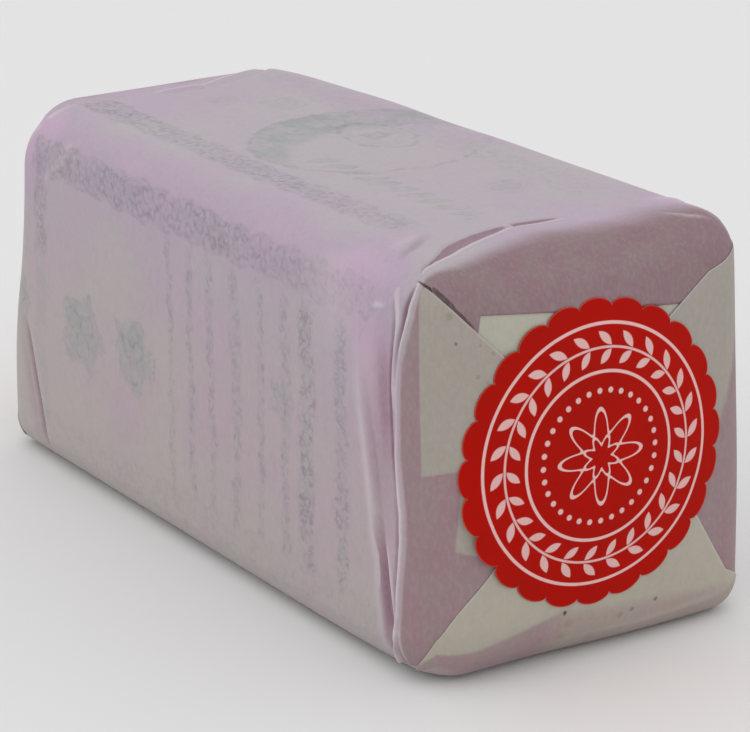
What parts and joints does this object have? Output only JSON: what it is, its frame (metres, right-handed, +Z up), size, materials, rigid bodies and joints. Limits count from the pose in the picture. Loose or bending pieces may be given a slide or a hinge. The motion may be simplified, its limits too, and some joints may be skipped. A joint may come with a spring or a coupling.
{
  "type": "paper-wrapped tea pack",
  "caption": "Closed brick-shaped tea pack in thin lilac paper, its ends folded shut with flaps and held by round scalloped red paper seals.",
  "frame": {"origin": "middle of the underside of the whole pack's box", "axes": "+X along the length towards the near end, +Y across the width, +Z up from the side it lies on"},
  "size_m": [0.192, 0.0788, 0.0851],
  "materials": {
    "wrapper": "thin matt lilac paper with faint print showing through and pale grey-green areas on the folded ends",
    "seal": "smooth red label paper with pale printed rings and ornaments"
  },
  "bodies": {
    "root": {"pack": "wrapper", "seal_near": "seal", "seal_far": "seal"}
  },
  "joints": []
}
